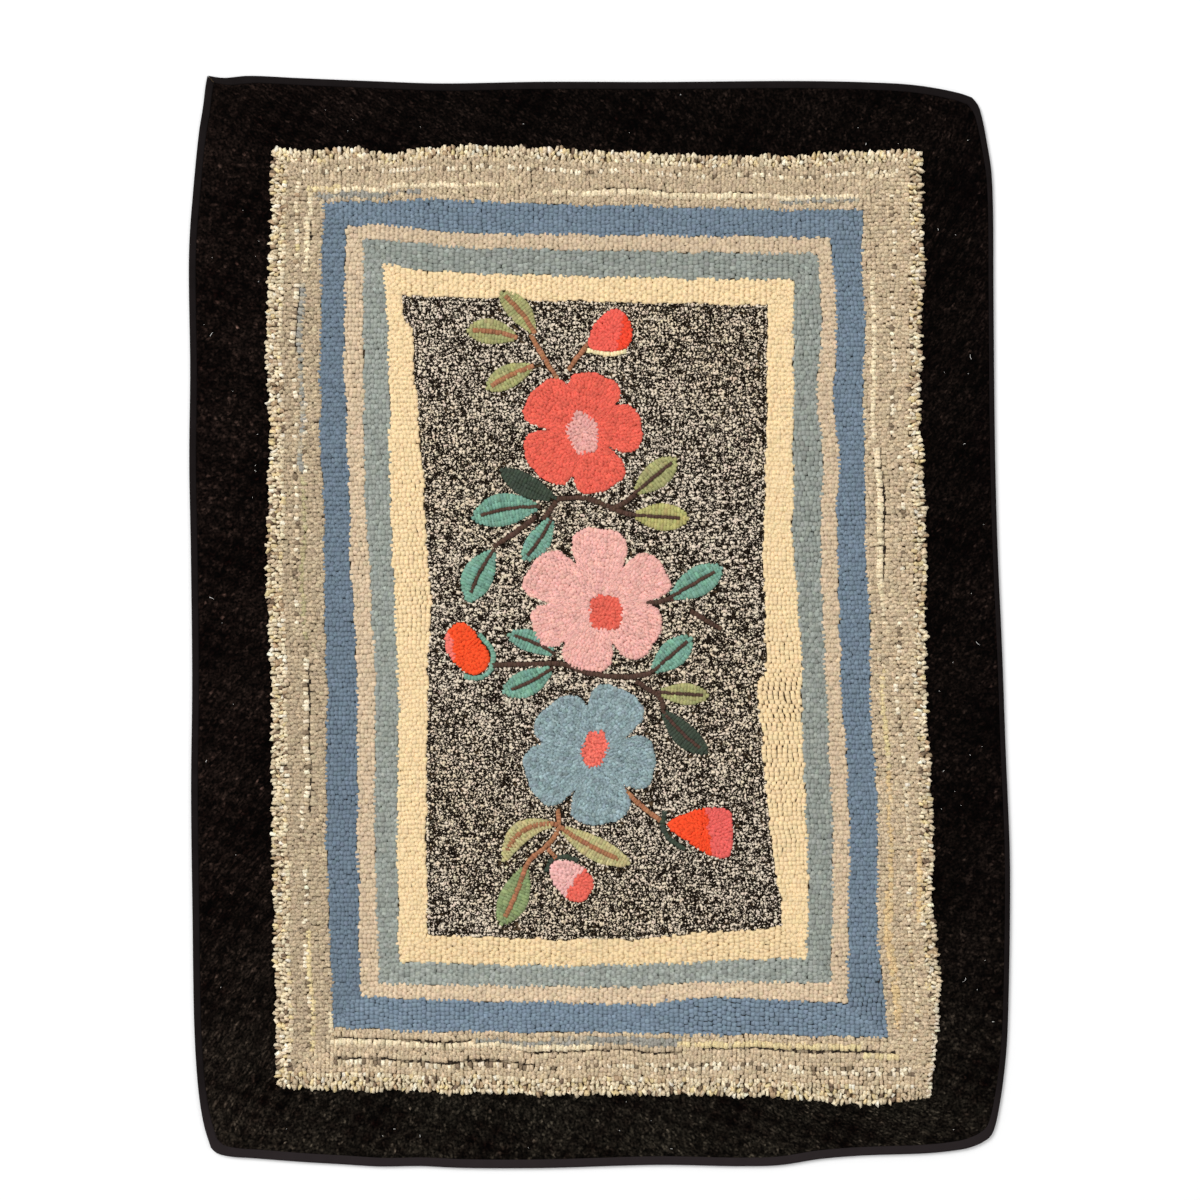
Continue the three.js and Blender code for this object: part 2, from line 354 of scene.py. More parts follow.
# Stations of the bands' six edges, from the wide band's outer edge to the field's, each clockwise
# from the upper left corner
BAND_EDGES = [
    {
        "top": [(-363, 526), (-333, 523), (-266, 525), (-233, 519), (-200, 526), (-155, 528),
                (1, 523), (178, 516), (290, 522), (356, 524)],
        "right": [(356, 524), (359, 391), (355, 247), (359, 158), (362, 91), (362, -87),
                  (366, -153), (370, -220), (370, -309), (378, -409), (374, -476), (369, -527)],
        "bottom": [(369, -527), (310, -536), (178, -526), (1, -525), (-155, -523), (-244, -520),
                   (-358, -517)],
        "left": [(-358, -517), (-363, -220), (-364, -87), (-369, 47), (-368, 136), (-365, 191),
                 (-370, 306), (-365, 425), (-363, 526)],
    },
    {
        "top": [(-306, 466), (-244, 468), (-177, 470), (-88, 466), (45, 463), (178, 459),
                (294, 459)],
        "right": [(294, 459), (293, 391), (296, 325), (294, 247), (296, 169), (296, 102),
                  (302, -31), (301, -87), (306, -153), (310, -254), (309, -331), (316, -409),
                  (321, -463)],
        "bottom": [(321, -463), (178, -459), (90, -459), (1, -457), (-155, -456), (-296, -451)],
        "left": [(-296, -451), (-304, -220), (-303, -87), (-306, 13), (-307, 136), (-311, 202),
                 (-310, 306), (-309, 403), (-306, 466)],
    },
    {
        "top": [(-282, 440), (-233, 441), (-188, 436), (-155, 433), (1, 430), (178, 429),
                (256, 428)],
        "right": [(256, 428), (260, 391), (264, 325), (260, 247), (266, 191), (264, 102),
                  (268, -31), (269, -87), (275, -153), (278, -254), (277, -331), (276, -425)],
        "bottom": [(276, -425), (178, -419), (90, -419), (56, -425), (-44, -423), (-155, -421),
                   (-266, -416)],
        "left": [(-266, -416), (-269, -220), (-269, -87), (-273, 2), (-277, 69), (-278, 136),
                 (-280, 191), (-284, 306), (-283, 391), (-282, 440)],
    },
    {
        "top": [(-263, 426), (-222, 424), (-177, 419), (-88, 415), (45, 413), (178, 411),
                (244, 410)],
        "right": [(244, 410), (247, 325), (243, 269), (242, 247), (249, 180), (246, 102),
                  (250, -31), (253, -87), (257, -176), (260, -254), (257, -401)],
        "bottom": [(257, -401), (178, -401), (112, -401), (23, -406), (-66, -405), (-155, -404),
                   (-245, -402)],
        "left": [(-245, -402), (-250, -220), (-249, -87), (-253, 2), (-256, 69), (-261, 136),
                 (-262, 191), (-262, 306), (-263, 426)],
    },
    {
        "top": [(-241, 399), (-222, 396), (-188, 390), (-155, 388), (1, 384), (178, 381),
                (216, 381)],
        "right": [(216, 381), (216, 314), (215, 136), (214, 102), (224, -20), (226, -131),
                  (229, -198), (232, -309), (230, -374)],
        "bottom": [(230, -374), (178, -375), (112, -379), (1, -382), (-66, -382), (-155, -380),
                   (-224, -379)],
        "left": [(-224, -379), (-225, -220), (-224, -87), (-227, 2), (-230, 69), (-233, 136),
                 (-233, 191), (-235, 314), (-239, 380), (-241, 399)],
    },
    {
        "top": [(-221, 364), (-177, 363), (-88, 359), (45, 356), (187, 353)],
        "right": [(187, 353), (187, 247), (186, 169), (183, 102), (185, -20), (185, -56),
                  (177, -67), (182, -131), (187, -198), (193, -254), (202, -309), (203, -339)],
        "bottom": [(203, -339), (151, -344), (112, -346), (45, -353), (1, -354), (-66, -353),
                   (-155, -350), (-192, -348)],
        "left": [(-192, -348), (-193, -220), (-192, -87), (-191, -31), (-187, 2), (-191, 69),
                 (-195, 136), (-198, 191), (-206, 269), (-207, 322), (-209, 329), (-218, 335),
                 (-221, 364)],
    },
]


def axis_of(side):
    """0 for a side of the rug that runs along x and 1 for one along y."""
    return 0 if side in ("top", "bottom") else 1


def side_points(side, at, depth):
    """Points of a side from their places along it and across it."""
    return np.column_stack([at, depth] if axis_of(side) == 0 else [depth, at])


def band_depth(k, side, at):
    """Where edge k of the bands lies at places along a side, with the hand's small wander."""
    line = smooth_line(BAND_EDGES[k][side], 300)
    along = axis_of(side)
    line = line[np.argsort(line[:, along])]
    low, high = line[[0, -1], along]
    wave = np.random.default_rng(31 * k + SIDES.index(side)).uniform(0, 2 * np.pi, 3)
    wander = 0.5 * np.sin(at / 17 + wave[0]) + 0.5 * np.sin(at / 7.3 + wave[1])
    # no wander at the corners, where two sides have to meet
    taper = np.interp(at, [low, low + 20, high - 20, high], [0, 1, 1, 0])
    return np.interp(at, line[:, along], line[:, 1 - along]) + taper * wander


def band_rows(outer, inner, side, rows, pitch, stagger):
    """Loops of one side of a band. Ribs of loops cross it, a pitch apart, and end on the corners'
    diagonals. A rib's loops lie at even shares of the way from the outer to the inner edge, all
    moved by a random stagger of a row's share."""
    along = axis_of(side)
    ends = [np.sort([BAND_EDGES[k][side][0][along], BAND_EDGES[k][side][-1][along]])
            for k in (outer, inner)]
    low, high = np.min(ends, 0)[0], np.max(ends, 0)[1]
    lattice = np.arange(low + rng.uniform(0, pitch), high, pitch)
    row, at = np.meshgrid(np.arange(rows) + 0.5, lattice, indexing="ij")
    shift = rng.uniform(-stagger, stagger, len(lattice))
    at = at + 0.09 * pitch * np.sin(at / 19 + 2.4 * row) + rng.normal(0, 0.07 * pitch, at.shape)
    share, at = ((row + shift) / rows).ravel(), at.ravel()
    start = ends[0][0] + (ends[1][0] - ends[0][0]) * share
    stop = ends[0][1] + (ends[1][1] - ends[0][1]) * share
    kept = (at > start - 0.3 * pitch) & (at < stop + 0.3 * pitch)
    share, at = share[kept], at[kept]
    near, far = band_depth(outer, side, at), band_depth(inner, side, at)
    depth = near + (far - near) * share
    turn = np.full(len(at), np.pi / 2 if along == 0 else 0.0)
    return side_points(side, at, depth), turn, share, row.ravel()[kept] - 0.5, at


def band_pile(outer, inner, rows, pitch, stagger):
    """The loops of all four sides of a band, whose pitch differs between its ends and sides."""
    pitch = {"top": pitch[0], "right": pitch[1], "bottom": pitch[0], "left": pitch[1]}
    sides = [band_rows(outer, inner, side, rows, pitch[side], stagger) for side in SIDES]
    side_number = np.concatenate([np.full(len(side[0]), k) for k, side in enumerate(sides)])
    return [np.concatenate(column) for column in zip(*sides)] + [side_number]


wool_finish = wool("wool_yarn")
# The tip of the first leaf is hooked in the innermost band's place.
LEAF_TIP = (-106, 362.5)
LEAF_TIP_ROOM = 6.5
BAND_STRIP_HALF = 2.5
SPAN_SHARE = 0.72
# name, outer and inner edge, rows, pitch on the ends and on the sides, yarn and its spread, and
# how light it is on each side
for band_name, outer, inner, rows, pitch, band_colour, spread, lightness in (
    ("blue_band", 1, 2, 8, (5.3, 5.2), (117, 133, 147), 0.07, (1.0, 1.0, 1.14, 0.9)),
    ("inner_tan_band", 2, 3, 5, (5.2, 5.2), (212, 190, 160), 0.07, (0.97, 1.0, 1.1, 1.02)),
    ("teal_band", 3, 4, 7, (5.9, 5.6), (151, 156, 148), 0.1, (0.98, 1.0, 1.13, 1.04)),
    ("cream_band", 4, 5, 8, (5.8, 5.0), (242, 215, 169), 0.04, (1.0, 1.0, 0.97, 1.0)),
):
    at, turn, _, _, along, side = band_pile(outer, inner, rows, pitch, 0.34)
    clear = np.linalg.norm(at - LEAF_TIP, axis=1) > LEAF_TIP_ROOM
    at, turn, along, side = at[clear], turn[clear], along[clear], side[clear]
    count = len(at)
    at = at + drift(at, outer) + rng.normal(0, 0.25, at.shape)
    half = np.array([BAND_STRIP_HALF, SPAN_SHARE * pitch[0]]) * rng.normal(1, 0.06, (count, 2))
    turn = turn + 0.2 * np.sin(along / 37 + outer) + rng.normal(0, 0.14, count)
    crest = PILE_TOP - 0.4 + rng.normal(0, 0.2, count)
    # Each side is lighter or darker by its own factor.
    yarn = dyed(band_colour, count, spread, 0.012) * np.array(lightness)[side, None]
    hook(band_name, at, turn, half, crest, np.clip(yarn, 0, 1), wool_finish)


# Wide band: fifteen rows of mixed tan wool strips between the border and the blue band. Some rows
# are hooked in another yarn for a stretch and stand out, or sink as a slit whose shadow is painted
# in dark yarn.
WIDE_ROWS, RIM_ROWS = 15, 3
WIDE_PITCH = 4.4
WIDE_HALF = (2.8, 3.1)
# name, and for each yarn in it the colour and its share
BLENDS = {
    "tan": [((204, 183, 152), 0.5), ((194, 174, 145), 0.3), ((214, 194, 162), 0.2)],
    "grey": [((156, 153, 143), 0.85), ((184, 172, 150), 0.15)],
    "cream": [((235, 218, 184), 0.85), ((216, 197, 164), 0.15)],
    "yellow": [((226, 206, 158), 0.85), ((216, 197, 162), 0.15)],
    "ochre": [((218, 190, 144), 0.85), ((212, 190, 154), 0.15)],
    "moss": [((184, 172, 132), 0.8), ((204, 186, 154), 0.2)],
    "spots": [((242, 229, 202), 0.33), ((206, 186, 155), 0.53), ((136, 118, 96), 0.14)],
    # The blend below is a sunk row, mostly in a dark brown that paints the shadow in it.
    "shadow_slit": [((56, 46, 38), 0.62), ((150, 134, 112), 0.38)],
    "nubs": [((234, 218, 186), 0.36), ((210, 191, 160), 0.34), ((224, 203, 156), 0.11),
             ((240, 231, 210), 0.06), ((184, 158, 126), 0.09), ((130, 110, 90), 0.04)],
}
# side, from and to along it, share of the way in from the border, blend, rise above the rest
ACCENT_ROWS = [
    ("top", -340, 340, 0.38, "spots", 0.5), ("top", -338, -290, 0.72, "yellow", 0.4),
    ("top", -290, -235, 0.79, "cream", 0.4), ("top", -235, -110, 0.72, "cream", 0.3),
    ("top", -60, 290, 0.79, "cream", 0.5), ("top", 0, 170, 0.72, "shadow_slit", -1.8),
    ("top", -318, -200, 0.86, "grey", 0.0), ("top", -318, -240, 0.93, "grey", 0.0),
    ("top", 195, 290, 0.86, "grey", 0.0), ("top", 298, 340, 0.45, "cream", 0.5),
    ("left", 450, 480, 0.78, "cream", 0.5), ("left", 392, 450, 0.72, "cream", 0.4),
    ("left", 392, 446, 0.79, "shadow_slit", -1.8), ("left", 390, 490, 0.52, "nubs", 1.0),
    ("left", 162, 376, 0.62, "grey", 0.3), ("left", -20, 160, 0.62, "moss", 0.0),
    ("left", 300, 376, 0.56, "shadow_slit", -1.5),
    ("left", -20, 385, 0.5, "spots", 0.8), ("left", 160, 285, 0.7, "spots", 0.3),
    ("left", -218, -47, 0.7, "shadow_slit", -1.8), ("left", -200, -25, 0.6, "spots", 0.8),
    ("left", -490, -200, 0.56, "spots", 0.5), ("left", -480, -340, 0.62, "yellow", 0.2),
    ("left", -520, 530, 0.22, "nubs", 0.4), ("left", -485, -432, 0.95, "cream", 0.4),
    ("right", 190, 480, 0.47, "spots", 0.6), ("right", 48, 185, 0.39, "spots", 0.5),
    ("right", 200, 400, 0.81, "cream", 0.5), ("right", 42, 195, 0.7, "shadow_slit", -1.8),
    ("right", 0, 195, 0.77, "cream", 0.4), ("right", -165, 0, 0.49, "spots", 0.6),
    ("right", -470, -165, 0.42, "nubs", 0.8), ("right", -170, -50, 0.78, "yellow", 0.3),
    ("right", -450, -165, 0.79, "ochre", 0.3), ("right", -450, -300, 0.86, "ochre", 0.2),
    ("right", -338, -250, 0.22, "ochre", 0.2),
    ("bottom", -306, 0, 0.76, "cream", 0.5), ("bottom", -292, -140, 0.84, "shadow_slit", -1.8),
    ("bottom", -86, 92, 0.71, "shadow_slit", -1.8), ("bottom", -130, 92, 0.84, "grey", 0.0),
    ("bottom", -60, 92, 0.9, "grey", 0.0), ("bottom", -292, -70, 0.5, "shadow_slit", -1.8),
    ("bottom", -292, 350, 0.4, "spots", 0.6), ("bottom", 92, 290, 0.83, "yellow", 0.5),
    ("bottom", 120, 330, 0.76, "shadow_slit", -0.9), ("bottom", 290, 335, 0.7, "yellow", 0.4),
    ("bottom", 60, 350, 0.5, "spots", 0.4), ("bottom", -350, 350, 0.22, "nubs", 0.4),
]


def blended(blend, count, spread=0.07):
    """Colours of count loops drawn at random from a blend of yarns."""
    colours, shares = zip(*BLENDS[blend])
    chosen = rng.choice(len(colours), count, p=np.array(shares) / sum(shares))
    yarns = np.stack([dyed(colour, count, spread, 0.012) for colour in colours])
    return yarns[chosen, np.arange(count)]


at, turn, share, row, along, side = band_pile(0, 1, WIDE_ROWS, (WIDE_PITCH, WIDE_PITCH), 0.12)
count = len(at)
yarn = blended("tan", count)
# how light the band is at the top, right, bottom and left
yarn = yarn * np.array([0.95, 1.0, 1.04, 0.85])[side, None]
# The band is highest in a soft crest near the border.
rise = 1.3 * np.exp(-(((share - 0.1) / 0.18) ** 2)) + rng.normal(0, 0.3, count)
half = np.tile(WIDE_HALF, (count, 1))
for accent_side, start, stop, accent_share, blend, lift in ACCENT_ROWS:
    ragged_start = start + 6 * np.sin(along / 5)
    on_side = side == SIDES.index(accent_side)
    rows_away = np.abs(row - int(accent_share * WIDE_ROWS))
    hooked = on_side & (rows_away == 0) & (along > ragged_start) & (along < stop)
    yarn[hooked] = blended(blend, hooked.sum())
    rise[hooked] += lift
    half[hooked] *= 0.9 if blend in ("shadow_slit", "nubs", "spots") else 1.05
    if blend == "shadow_slit":
        # The rows beside a slit close in over it.
        half[on_side & (along > start - 4) & (along < stop + 4) & (rows_away == 1), 0] *= 1.2
LUMP_SHARE = 0.1
lump = rng.uniform(size=count) < LUMP_SHARE
rise[lump] += rng.uniform(0, 0.9, lump.sum())
outward = np.array([(0, 1), (1, 0), (0, -1), (-1, 0)])[side]
sway = 1.6 * np.sin(along / 22 + 2 * side) * np.sin(np.pi * share)
at = at + sway[:, None] * outward + drift(at, 11) + rng.normal(0, 0.5, at.shape)
half = half * rng.normal(1, 0.08, (count, 2))
turn = turn + 0.2 * np.sin(along / 29) + rng.normal(0, 0.2, count)
plain = row >= RIM_ROWS
strip_finish = wool("wool_strip", 0.34, 560)
hook("wide_band", at[plain], turn[plain], half[plain], (PILE_TOP - 0.3 + rise)[plain],
     yarn[plain], strip_finish, ragged=0.2)

# The three rows next to the border are coarse ragged strips that lean out over it.
rim = ~plain
rim_count = rim.sum()
slant = rng.normal(0, 0.9, (rim_count, 2))
reach = rng.uniform(0.4, 2.6, (rim_count, 1)) * (1 - 0.5 * row[rim, None])
lean = outward[rim] * reach + slant
rim_yarn = blended("nubs", rim_count, 0.1)
# At the lower right corner the rim is even, with a pale row along the right side.
trimmed = (at[rim, 0] > 335) & (at[rim, 1] < -425)
lean[trimmed] *= 0.3
rim_yarn[trimmed] = blended("tan", trimmed.sum())
pale = trimmed & (row[rim] < 1) & (side[rim] == SIDES.index("right"))
rim_yarn[pale] = dyed((226, 214, 190), pale.sum(), 0.05)
rim_half = np.column_stack([
    rng.uniform(2.2, 3.4, rim_count), rng.uniform(1.9, 2.8, rim_count)
])
hook("wide_band_rim", at[rim], turn[rim] + rng.normal(0, 0.35, rim_count), rim_half,
     PILE_TOP + 0.6 + rng.normal(0, 0.45, rim_count), rim_yarn, strip_finish, depth=0.32,
     lean=lean, ragged=0.4)


# Flowers: three large open flowers down the middle of the field, each hooked in rows that echo
# its petals, with a small eye of another yarn.
def petal_line(centre, petals, count=240):
    """Closed line round a centre, clockwise. From one notch to the next the radius is the
    notch's, drawn in by 3, plus the petal's reach beyond that times (1 - |2 s - 1|^5)^0.7, where
    s is the share of the way with a twentieth left open at either end. A wave of 0.7, seventeen
    times round, makes the line uneven."""
    start, notch, reach, last = np.array(petals, float).T
    start = -start % 360
    order = np.argsort(start)
    start, notch, reach, last = (column[order] for column in (start, notch, reach, last))
    angle = np.linspace(0, 360, count, endpoint=False)
    k = (np.searchsorted(start, angle, "right") - 1) % len(start)
    after = (k + 1) % len(start)
    s = ((angle - start[k]) % 360) / ((start[after] - start[k]) % 360)
    s = np.clip(1.1 * s - 0.05, 0, 1)
    low = notch[k] + (notch[after] - notch[k]) * s - 3
    high = reach[k] + (last[k] - reach[k]) * s
    radius = low + (high - low) * (1 - np.abs(2 * s - 1) ** 5) ** 0.7
    radius = radius + 0.7 * np.sin(np.radians(angle) * 17)
    turn = -np.radians(angle)
    return np.column_stack([centre[0] + radius * np.cos(turn), centre[1] + radius * np.sin(turn)])


def eye_line(centre, half, tilt, corners, count=60):
    """Ellipse round a centre, tilted by an angle in degrees, with soft corners: its size swells
    by 0.08 sin(corners t)."""
    t = np.linspace(0, 2 * np.pi, count, endpoint=False)
    size = 1 + 0.08 * np.sin(corners * t)
    x, y = half[0] * size * np.cos(t), half[1] * size * np.sin(t)
    tilt = np.radians(tilt)
    return np.column_stack([
        centre[0] + x * np.cos(tilt) - y * np.sin(tilt),
        centre[1] + x * np.sin(tilt) + y * np.cos(tilt),
    ])


def inside(points, line):
    """Whether each point lies in a closed line: a ray to its right crosses it an odd number of
    times."""
    x, y = points[:, :1], points[:, 1:]
    a, b = line, np.roll(line, -1, axis=0)
    spans = (a[None, :, 1] > y) != (b[None, :, 1] > y)
    rise = b[:, 1] - a[:, 1]
    rise = np.where(rise == 0, 1e-9, rise)
    cross = a[None, :, 0] + (y - a[None, :, 1]) * ((b[:, 0] - a[:, 0]) / rise)[None]
    return (spans & (x < cross)).sum(1) % 2 == 1


def distance(points, line, closed=True):
    """Distance of each point from the nearest stretch of a line."""
    a = line if closed else line[:-1]
    b = np.roll(line, -1, axis=0) if closed else line[1:]
    step = b - a
    reach = points[:, None] - a[None]
    t = np.clip((reach * step).sum(2) / np.maximum((step**2).sum(1), 1e-9), 0, 1)
    return np.linalg.norm(reach - t[..., None] * step[None], axis=2).min(1)


PETAL_PITCH = 3.9
PETAL_HALF = 2.9


def echo_rows(line, centre):
    """Loops in rings inside a closed line: each ring is the line drawn in towards the centre by
    a row more, and its loops point at the centre. Also the rings' local distance apart."""
    middle = np.asarray(centre, float)
    mean = np.linalg.norm(line - middle, axis=1).mean()
    places, turns, widths = [], [], []
    for shrink in 1 - np.arange(0.52 * PETAL_PITCH, mean, PETAL_PITCH) / mean:
        ring = middle + (line - middle) * shrink
        ring = np.vstack([ring, ring[:1]])
        length = lengths(ring)
        count = max(int(length[-1] / PETAL_PITCH), 1)
        at = (np.arange(count) + rng.uniform(0, 1)) * length[-1] / count
        place = places_along(ring, length, at % length[-1])
        spoke = place - middle
        places.append(place)
        turns.append(np.arctan2(spoke[:, 1], spoke[:, 0]))
        widths.append(PETAL_PITCH * np.linalg.norm(spoke, axis=1) / (mean * shrink))
    places.append([middle])
    turns.append([0.0])
    widths.append([PETAL_PITCH])
    return np.vstack(places), np.concatenate(turns), np.concatenate(widths)


def petal_half(width):
    """Half width and half span of loops in rings of given widths, which they overlap a little."""
    return np.column_stack([np.full(len(width), PETAL_HALF), 0.84 * width])


petal_finish = wool("petal_wool", 0.16, 700)
heather_finish = wool("heathered_wool", 0.34, 420)
# name, middle, yarn, its spread and finish, the eye's middle, half sizes, tilt, corners and yarn,
# and for each petal the notch's angle and radius and how far it reaches at its start and end
FLOWERS = [
    ("coral_flower", (-18, 211), (228, 100, 83), 0.06, petal_finish,
     (-18.5, 210), (17, 24), 12, 5, (228, 168, 159), [
        (175, 44, 73, 70), (108, 60, 67, 65), (39, 51, 63, 66), (-30, 35, 66, 70),
        (-103, 53, 67, 70),
    ]),
    ("pink_flower", (1, 19), (234, 178, 167), 0.06, petal_finish,
     (7, 10.5), (19, 20.5), 18, 4, (225, 102, 85), [
        (121, 54, 88, 81), (59, 50, 79, 83), (3, 52, 71, 75), (-72, 47, 72, 76),
        (-134, 59, 80, 78), (178, 58, 93, 82),
    ]),
    ("blue_flower", (-7, -150), (141, 160, 163), 0.1, heather_finish,
     (-5, -141), (14, 21), -14, 6, (234, 114, 98), [
        (97, 60, 82, 80), (31, 43, 66, 71), (-43, 49, 74, 76), (-119, 46, 76, 78),
        (165, 61, 76, 74),
    ]),
]
# closed outlines that the pieces after them keep clear of
outlines = []
for name, middle, colour, spread, finish, eye_middle, *eye_form, eye_colour, petals in FLOWERS:
    line = petal_line(middle, petals)
    eye = eye_line(eye_middle, *eye_form)
    at, turn, width = echo_rows(line, middle)
    clear = ~inside(at, eye)
    at, turn, width = at[clear], turn[clear], width[clear]
    eye_at, eye_turn, eye_width = echo_rows(eye, eye_middle)
    count, eye_count = len(at), len(eye_at)
    blotch = np.sin(at @ (0.21, 0.13)) * np.sin(at @ (-0.11, 0.19) + 1)
    yarn = dyed(colour, count, spread, 0.02) * (1 + 1.2 * spread * blotch[:, None])
    yarn = np.clip(np.vstack([yarn, dyed(eye_colour, eye_count, 0.05, 0.015)]), 0, 1)
    at = np.vstack([at, eye_at])
    turn = np.r_[turn, eye_turn]
    half = petal_half(np.r_[width, eye_width])
    at = at + rng.normal(0, 0.4, at.shape)
    crest = PILE_TOP + 0.1 + rng.normal(0, 0.2, len(at))
    turn = turn + rng.normal(0, 0.4, len(at))
    hook(name, at, turn, half, crest, yarn, finish, depth=0.3)
    outlines.append(line)


# Leaves: each is hooked in five rows from tip to base, in olive, green, teal or dark wool. The
# middle row is its rib, a little higher and in brown, rust or dark yarn.
LEAF_YARNS = {
    "olive": (166, 164, 112), "khaki": (178, 172, 110), "teal": (120, 163, 144),
    "dark": (64, 74, 62), "green": (140, 156, 108), "rust": (166, 114, 82),
    "brown": (84, 62, 52), "rustdark": (84, 60, 52), "straw": (188, 178, 128),
}
LEAF_ROWS, LEAF_PITCH = 2, 3.4
# tip x and y, base x and y, width, bow to the left of the way to the base, blade, rib
LEAVES = [
    (-110, 367, -72, 321, 24, 3, "olive", "rust"),
    (-148, 324, -91, 316, 26, 3, "olive", "rust"),
    (-126, 259, -73, 285, 24, 2, "olive", "rust"),
    (-110, 170, -47, 137, 23, -3, "dark", "dark"),
    (-142, 115, -66, 128, 33, 4, "teal", "brown"),
    (-85, 69, -53, 117, 24, -3, "teal", "brown"),
    (-146, 23, -117, 81, 32, 3, "teal", "brown"),
    (86, 182, 39, 143, 27, 0, "olive", "brown"),
    (100, 115, 37, 119, 28, 0, "khaki", "brown"),
    (-102, -14, -49, -36, 22, 3, "teal", "brown"),
    (-108, -78, -52, -51, 27, -3, "teal", "brown"),
    (137, 61, 78, 27, 30, 0, "teal", "brown"),
    (103, -17, 58, -56, 28, 0, "teal", "brown"),
    (122, -82, 65, -78, 22, 0, "olive", "brown"),
    (120, -146, 70, -98, 24, 3, "dark", "rustdark"),
    (-107, -267, -46, -225, 22, 16, "straw", "rust"),
    (34, -269, -45, -227, 24, 3, "straw", "rust"),
    (-110, -337, -82, -271, 30, -2, "green", "rust"),
]


def leaf_place(tip, base, width, bow, t, v):
    """Point of a leaf at share t from tip to base and share v from rib to edge, and the half
    width there. The rib is the straight way plus the bow times 4 t (1 - t), and the half width
    is half the width times sin(pi t^0.85)^0.8."""
    way = base - tip
    side = np.array([-way[1], way[0]]) / np.linalg.norm(way)
    half = 0.5 * width * np.sin(np.pi * np.clip(t, 0.001, 0.999) ** 0.85) ** 0.8
    out = 4 * bow * t * (1 - t) + v * half
    return tip + way * t[:, None] + side * out[:, None], half


leaf_at, leaf_turn, leaf_half, leaf_crest, leaf_yarn = [], [], [], [], []
for tip_x, tip_y, base_x, base_y, width, bow, blade, rib in LEAVES:
    tip, base = np.array([tip_x, tip_y], float), np.array([base_x, base_y], float)
    length = np.linalg.norm(base - tip)
    angle = np.arctan2(*(base - tip)[::-1])
    edge_t = np.linspace(0, 1, 24)
    up, _ = leaf_place(tip, base, width, bow, edge_t, np.ones(24))
    down, _ = leaf_place(tip, base, width, bow, edge_t[1:-1], -np.ones(22))
    line = np.vstack([up, down[::-1]])
    steps = int(length / LEAF_PITCH)
    across = np.arange(-LEAF_ROWS, LEAF_ROWS + 1) / (LEAF_ROWS + 0.5)
    t, v = np.meshgrid((np.arange(steps) + 0.5) / steps, across)
    t, v = t.ravel(), v.ravel()
    place, half = leaf_place(tip, base, width, bow, t, v)
    room = 2 * half / (2 * LEAF_ROWS + 1)
    kept = (room > 1.3) | (v == 0)
    ribbed = (v == 0) & (t > 0.14)
    yarn = np.where(ribbed[:, None], dyed(LEAF_YARNS[rib], len(t), 0.1),
                    dyed(LEAF_YARNS[blade], len(t), 0.1))
    bend = angle + np.arctan2(4 * bow * (1 - 2 * t), length)
    leaf_at.append(place[kept])
    leaf_turn.append(bend[kept] + np.pi / 2)
    rib_half = 2.6 if rib == "rust" else 1.8
    wide = np.where(ribbed, rib_half, SPAN_SHARE * np.maximum(room, 3.0))
    leaf_half.append(np.column_stack([wide, np.full(len(t), PETAL_HALF)])[kept])
    leaf_crest.append((PILE_TOP + 0.2 + 0.7 * ribbed)[kept])
    leaf_yarn.append(yarn[kept])
    outlines.append(line)
leaf_at = np.vstack(leaf_at) + rng.normal(0, 0.2, (sum(map(len, leaf_at)), 2))
clear = ~np.any([inside(leaf_at, line) for line in outlines[:3]], axis=0)
count = clear.sum()
hook("leaves", leaf_at[clear], np.concatenate(leaf_turn)[clear], np.vstack(leaf_half)[clear],
     np.concatenate(leaf_crest)[clear] + rng.normal(0, 0.2, count),
     np.vstack(leaf_yarn)[clear], petal_finish, depth=0.25)


# Buds: three closed buds and a half-open one, in red, coral and pink wool. They are hooked in
# rings like the flowers, and each changes to a second yarn on the way across.
def bud_line(stations):
    """Closed smooth line through a few stations: a line through them three times over, cut to
    its middle round."""
    return smooth_line(stations * 3, 240)[80:160]


# stations, direction in which the yarns change, and the yarns with the share where each begins
BUDS = [
    ([(-11, 306), (-7, 327), (7, 342), (19, 348), (31, 338), (36, 320), (29, 305), (8, 302)],
     (1.0, -0.2), [(0.0, (235, 99, 85)), (0.72, (238, 75, 50))]),
    ([(-170, -13), (-156, -1), (-144, -6), (-133, -21), (-123, -37), (-127, -52), (-142, -58),
      (-157, -48), (-170, -31)],
     (1.0, 0.2), [(0.0, (238, 122, 108)), (0.16, (242, 83, 41))]),
    ([(76, -225), (94, -215), (123, -207), (145, -211), (147, -225), (143, -261), (121, -257),
      (94, -240)],
     (1.0, 0.15), [(0.0, (243, 79, 41)), (0.62, (230, 101, 94))]),
    ([(-54, -269), (-37, -266), (-18, -274), (-8, -288), (-11, -302), (-22, -311), (-37, -306),
      (-52, -287)],
     (1.0, -0.7), [(0.0, (234, 180, 174)), (0.6, (230, 106, 90))]),
]
bud_at, bud_turn, bud_half, bud_yarn = [], [], [], []
for stations, axis, yarns in BUDS:
    line = bud_line(stations)
    middle = line.mean(0)
    at, turn, width = echo_rows(line, middle)
    along = at @ np.array(axis)
    reach = line @ np.array(axis)
    share = (along - reach.min()) / np.ptp(reach)
    yarn = dyed(yarns[0][1], len(at), 0.05, 0.012)
    for begin, colour in yarns[1:]:
        yarn = np.where((share > begin)[:, None], dyed(colour, len(at), 0.05, 0.012), yarn)
    bud_at.append(at)
    bud_turn.append(turn)
    bud_half.append(petal_half(width))
    bud_yarn.append(yarn)
    outlines.append(line)
bud_at = np.vstack(bud_at)
bud_turn = np.concatenate(bud_turn) + rng.normal(0, 0.4, len(bud_at))
hook("buds", bud_at + rng.normal(0, 0.4, bud_at.shape), bud_turn,
     np.vstack(bud_half), PILE_TOP + rng.normal(0, 0.2, len(bud_at)), np.vstack(bud_yarn),
     petal_finish, depth=0.3)

